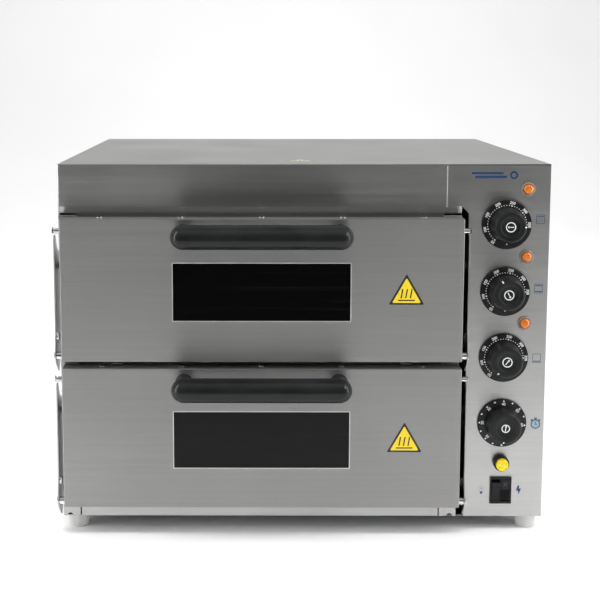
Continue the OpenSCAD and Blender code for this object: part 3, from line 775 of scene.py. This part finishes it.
def make_knob_pointer(node, place, top):
    """A white line over the rim, from the dish to the side."""
    pointer, half_width = POINTERS[node], 0.75
    side = Vector(dial_spot(pointer + 90, half_width))
    stroke = arc((KNOB_FACE_R - KNOB_RIM, top - KNOB_RIM), KNOB_RIM + 0.05, 12, 82, 8)
    bm = bmesh.new()
    for one, two in zip(stroke, stroke[1:]):
        corners = []
        for radius, out in (one, two):
            x, z = dial_spot(pointer, radius)
            for s in (1, -1):
                corner = Vector((x + s * side.x, -out, z + s * side.y))
                corners.append(bm.verts.new(place @ (corner * MM)))
        bm.faces.new((corners[0], corners[1], corners[3], corners[2]))
    bmesh.ops.remove_doubles(bm, verts=bm.verts, dist=1e-6)
    piece = finish_print(bm, node + "_pointer", node, "black_bakelite", WHITE_PRINT)
    piece.modifiers.new("body", "SOLIDIFY").thickness = 0.1 * MM


def make_knob(node, joint):
    centre = dial_centre(joint)
    top = (FASCIA_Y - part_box(node)[0].y) / MM
    make_knob_cap(node, centre, top)
    make_knob_emblem(node, Matrix.Translation(centre), top)
    make_knob_pointer(node, Matrix.Translation(centre), top)


make_dial_discs()
for knob_node, knob_joint in KNOBS:
    make_knob(knob_node, knob_joint)
degree = THERMOSTAT_SPAN / THERMOSTAT_TOP
tens, fifties = range(50, THERMOSTAT_TOP + 1, 10), range(50, THERMOSTAT_TOP + 1, 50)
dots = [(t * degree, 1.8 if t in fifties else 1.15) for t in tens] + [(0, 1.4)]
texts = [(t * degree, str(t)) for t in fifties]
for k, (_, knob_joint) in enumerate(KNOBS[:3]):
    print_dial(knob_joint, "thermostat_print_{}".format(k + 1), dots, texts,
               THERMOSTAT_DOTS_R, THERMOSTAT_NUMBERS_R)
minute = TIMER_SPAN / TIMER_TOP
dots = [(t * minute, 2.0) for t in range(0, TIMER_TOP + 1, 5)]
texts = [(t * minute, str(t)) for t in range(10, TIMER_TOP + 1, 10)]
print_dial("timer_turn", "timer_print", dots, texts, TIMER_DOTS_R, TIMER_NUMBERS_R)


# ---- Lamps, button and rockers ----

BEZEL_BORE = 6.3
LENS_R = 5.5


def make_lamps():
    """Three lamps, each a lens in a pale bezel, with a collar round the lens painted dark orange as
    the shade at the lens's edge.
    """
    low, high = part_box("indicator_lamps")
    radius = (high.x - low.x) / 2 / MM
    rise = high.z - radius * MM - JOINTS["upper_thermostat_turn"]["pos_m"][2]
    heights = [JOINTS[joint]["pos_m"][2] + rise for _, joint in KNOBS[:3]]
    x = (low.x + high.x) / 2
    lens_out = (FASCIA_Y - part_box("indicator_lenses")[0].y) / MM
    dome, inner = 2.8, LENS_R + 0.05
    bezel_profile = [(BEZEL_BORE, 0), (radius, 0), (radius, 0.8)]
    bezel_profile += arc((radius - 1.2, 0.8), 1.2, 0, 90, 5) + [(BEZEL_BORE, 2.0), (BEZEL_BORE, 0)]
    lens_profile = [(LENS_R, 0.2), (LENS_R, lens_out - dome)]
    lens_profile += arc((LENS_R - dome, lens_out - dome), dome, 0, 90, 8) + [(0, lens_out)]
    collar_profile = [(inner, 0.3), (BEZEL_BORE, 0.3), (BEZEL_BORE, 2.1), (5.9, 2.3), (inner, 2.1),
                      (inner, 0.3)]
    bezel, lens, collar = bmesh.new(), bmesh.new(), bmesh.new()
    for z in heights:
        at = Vector((x, FASCIA_Y, z))
        lathe(bezel, bezel_profile, at)
        lathe(lens, lens_profile, at)
        lathe(collar, collar_profile, at)
    turned = ((bezel, "lamp_bezels", "indicator_lamps"), (lens, "lamp_lenses", "indicator_lenses"))
    for bm, name, node in turned:
        piece = finish_turned(bm, name, "casing", SLOT_OF[node])
        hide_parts(node)
    # The collar's dark orange is painted shade at the lens's edge, not a dark part.
    finish_print(collar, "lamp_edge_shade", "casing", SLOT_OF["indicator_lenses"], LENS_EDGE_SHADE)


def make_button():
    """A yellow cap in a round black shroud."""
    low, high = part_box("button_housing")
    x, z = (low.x + high.x) / 2, (low.z + high.z) / 2
    radius = (high.x - low.x) / 2 / MM
    out = (FASCIA_Y - low.y) / MM
    cap_low, cap_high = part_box("button_cap")
    cap_out = (FASCIA_Y - cap_low.y) / MM
    cap_r = (cap_high.x - cap_low.x) / 2 / MM
    at = Vector((x, FASCIA_Y, z))
    bore = cap_r + 0.1
    shroud_profile = [(bore, 2), (bore, out - 0.6), (bore + 0.3, out), (radius - 0.6, out),
                      (radius - 0.1, out - 0.5), (radius, out - 1.2), (radius, 0), (bore, 0),
                      (bore, 2)]
    bm = bmesh.new()
    lathe(bm, shroud_profile, at)
    shroud = finish_turned(bm, "button_shroud", "casing", "black_plastic")
    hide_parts("button_housing")
    cap_back, edge = 5.3, 0.8
    cap_profile = [(0, cap_back), (cap_r, cap_back), (cap_r, cap_out - edge)]
    cap_profile += arc((cap_r - edge, cap_out - edge), edge, 0, 90, 4) + [(0, cap_out)]
    bm = bmesh.new()
    lathe(bm, cap_profile, at)
    cap = finish_turned(bm, "button_face", "button", "yellow_plastic")
    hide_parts("button_cap")


# The rockers' tilt at rest in degrees, and their face's distance from the pivot in mm.
ROCKER_TILT = 8
ROCKER_REACH = 6.5
ROCKER_SLOPE = math.degrees(math.atan2(2.3, 11.5))


def rocker_face(joint, tilt, half):
    """Frame on one half of a rocker's face: X across, Z up along the face, Y into it."""
    pivot = JOINTS[joint]["pos_m"]
    box_low, box_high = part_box(JOINTS[joint]["child"])
    at = Matrix.Translation(((box_low.x + box_high.x) / 2, pivot[1], pivot[2]))
    lean = Matrix.Rotation(math.radians(tilt), 4, "X")
    slope = Matrix.Rotation(math.radians(half * ROCKER_SLOPE), 4, "X")
    return at @ lean @ Matrix.Translation((0, -ROCKER_REACH * MM, 0)) @ slope


def make_rockers():
    """Two rockers with a ribbed half each, and a printed ring on the power rocker."""
    for node in ("light_rocker", "power_rocker"):
        softened(node, fold=0.35 * MM, burr=0.0, name=node + "_key")
    ribs = (("light_rocker", "light_rocker_tilt", ROCKER_TILT, 1, 2.2, 5.4),
            ("power_rocker", "power_rocker_tilt", -ROCKER_TILT, -1, -10.2, -3.0))
    for body, joint, tilt, half, low, high in ribs:
        place = rocker_face(joint, tilt, half)
        bm = bmesh.new()
        for x in (-3.0, -1.5, 0, 1.5, 3.0):
            prism(bm, bar((x, low), (x, high), 0.7), 0.4, 0.5, place)
        finish_print(bm, body + "_ribs", body, "black_plastic", LOOKS["black_plastic"])
    place = rocker_face("power_rocker_tilt", -ROCKER_TILT, 1)
    bm = bmesh.new()
    ring(bm, 1.5, 0.5, 0.06, 0.1, place, 24, (0, 6.2))
    finish_print(bm, "power_rocker_mark", "power_rocker", "black_plastic", GREY_BLUE_PRINT)


make_lamps()
make_button()
make_rockers()


# ---- Printed signs on the fascia ----

# Thickness of the printed ink.
INK = 0.08
THIN_INK = 0.05


def sign_spot(x, z):
    """Place on the fascia, in mm from the casing's left side and bottom."""
    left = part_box("top_cover")[0].x
    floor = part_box("base_plate")[0].z
    return Matrix.Translation((left + x * MM, FASCIA_Y, floor + z * MM))


def add_deck_sign(bm, place, bars):
    """A frame with a thick bar at its top (1), its bottom (-1) or both."""
    half, tall, thin, thick = 4.6, 5.1, 0.55, 1.1
    corners = [(-half, -tall), (half, -tall), (half, tall), (-half, tall)]
    for i in range(4):
        prism(bm, bar(corners[i], corners[(i + 1) % 4], thin), INK, INK, place)
    for side in bars:
        inset = side * (tall - 1.7)
        prism(bm, bar((-half + 0.6, inset), (half - 0.6, inset), thick), 0.1, 0.1, place)


def add_watch(bm, place):
    """A stopwatch: a ring, a crown, two shoulders and two hands."""
    ring(bm, 5.0, 1.3, INK, INK, place, 36)
    prism(bm, bar((0, 5.4), (0, 7.8), 3.0), INK, INK, place)
    for side in (-1, 1):
        prism(bm, bar((side * 3.4, 5.8), (side * 5.4, 3.9), 1.8), INK, INK, place)
    prism(bm, bar((0, -0.4), (0, 2.6), 0.9), 0.12, INK, place)
    prism(bm, bar((-0.4, 0), (1.6, -0.6), 0.9), 0.12, INK, place)


def make_signs():
    watch, bulb, bolt = sign_spot(550.4, 111.2), sign_spot(489.2, 33.0), sign_spot(532.8, 31.8)
    bm = bmesh.new()
    for x, z, bars in ((549.4, 351.2, (1,)), (549.4, 271.2, (1, -1)), (549.4, 189.4, (-1,))):
        add_deck_sign(bm, sign_spot(x, z), bars)
    add_watch(bm, watch)
    finish_print(bm, "deck_signs", "casing", "brushed_sheet", GREY_BLUE_PRINT)
    bm = bmesh.new()
    prism(bm, circle(4.6, 32), THIN_INK, THIN_INK, watch)
    ring(bm, 2.9, 0.7, THIN_INK, THIN_INK, bulb, 28, (0, 1.0))
    for side in (-1, 1):
        prism(bm, bar((side * 2.4, -1.0), (side * 1.2, -3.2), 0.7), THIN_INK, THIN_INK, bulb)
    finish_print(bm, "sign_fills", "casing", "brushed_sheet", PALE_BLUE_PRINT)
    bm = bmesh.new()
    base = [(-1.5, -3.0), (1.5, -3.0), (1.5, -4.6), (0.7, -6.0), (-0.7, -6.0), (-1.5, -4.6)]
    prism(bm, base[::-1], INK, INK, bulb)
    prism(bm, bar((-1.4, 1.0), (1.4, 1.0), 0.7), INK, INK, bulb)
    flash = [(-0.8, 5.6), (0.8, 5.6), (0.6, 1.8), (3.0, 1.6), (0.2, -5.4), (-0.4, -1.2),
             (-3.0, -0.6)]
    prism(bm, flash[::-1], INK, INK, bolt)
    finish_print(bm, "power_signs", "casing", "brushed_sheet", BLUE_PRINT)
    bm = bmesh.new()
    for z, start, end in ((403.8, 470, 506), (399.6, 474, 510)):
        prism(bm, bar((start, 0), (end, 0), 2.5), INK, INK, sign_spot(0, z))
    ring(bm, 3.6, 2.0, INK, INK, sign_spot(518, 401.6), 32)
    finish_print(bm, "plain_mark", "casing", "brushed_sheet", BLUE_PRINT)


make_signs()


# ---- Screws of the back panel ----

def make_back_screws():
    """Pan-head screws along the back panel's edges, each with a cross slot drawn as a flat dark mark:
    painted shade in the slot's recess.
    """
    low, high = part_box("back_panel")
    edge, turn_each = 9 * MM, 37
    columns = [low.x + edge + (high.x - low.x - 2 * edge) * i / 4 for i in range(5)]
    rows = [low.z + edge + (high.z - low.z - 2 * edge) * i / 3 for i in range(4)]
    outer_columns, outer_rows = (columns[0], columns[-1]), (rows[0], rows[-1])
    spots = [(x, z) for x in columns for z in rows if x in outer_columns or z in outer_rows]
    profile = [(0, 0), (3.5, 0), (3.5, 0.5), (3.1, 1.3), (2.2, 1.8), (0, 2.0)]
    flip = Matrix.Rotation(math.radians(180), 4, "Z")
    heads, slot_shade = bmesh.new(), bmesh.new()
    for k, (x, z) in enumerate(spots):
        at = Vector((x, high.y, z))
        lathe(heads, profile, at, ALONG_Y.inverted(), 28)
        for turn in (0, 90):
            spin = Matrix.Rotation(math.radians(turn + turn_each * k), 4, "Y")
            place = Matrix.Translation(at) @ flip @ spin
            prism(slot_shade, bar((-1.7, 0), (1.7, 0), 0.6), 2.03, 0.4, place)
    finish_turned(heads, "back_screw_heads", "casing", "zinc_steel")
    # The slots are flat marks in the dark heating-tube metal: painted shade for the recess of each
    # cross slot.
    finish_print(slot_shade, "back_screw_slot_shade", "casing", "zinc_steel", LOOKS["heating_tube"])


make_back_screws()


# ---- CAD nodes that stay ----

for node, part in NODES.items():
    for material_slot in part.material_slots:
        material_slot.material = LOOKS[SLOT_OF[node]]
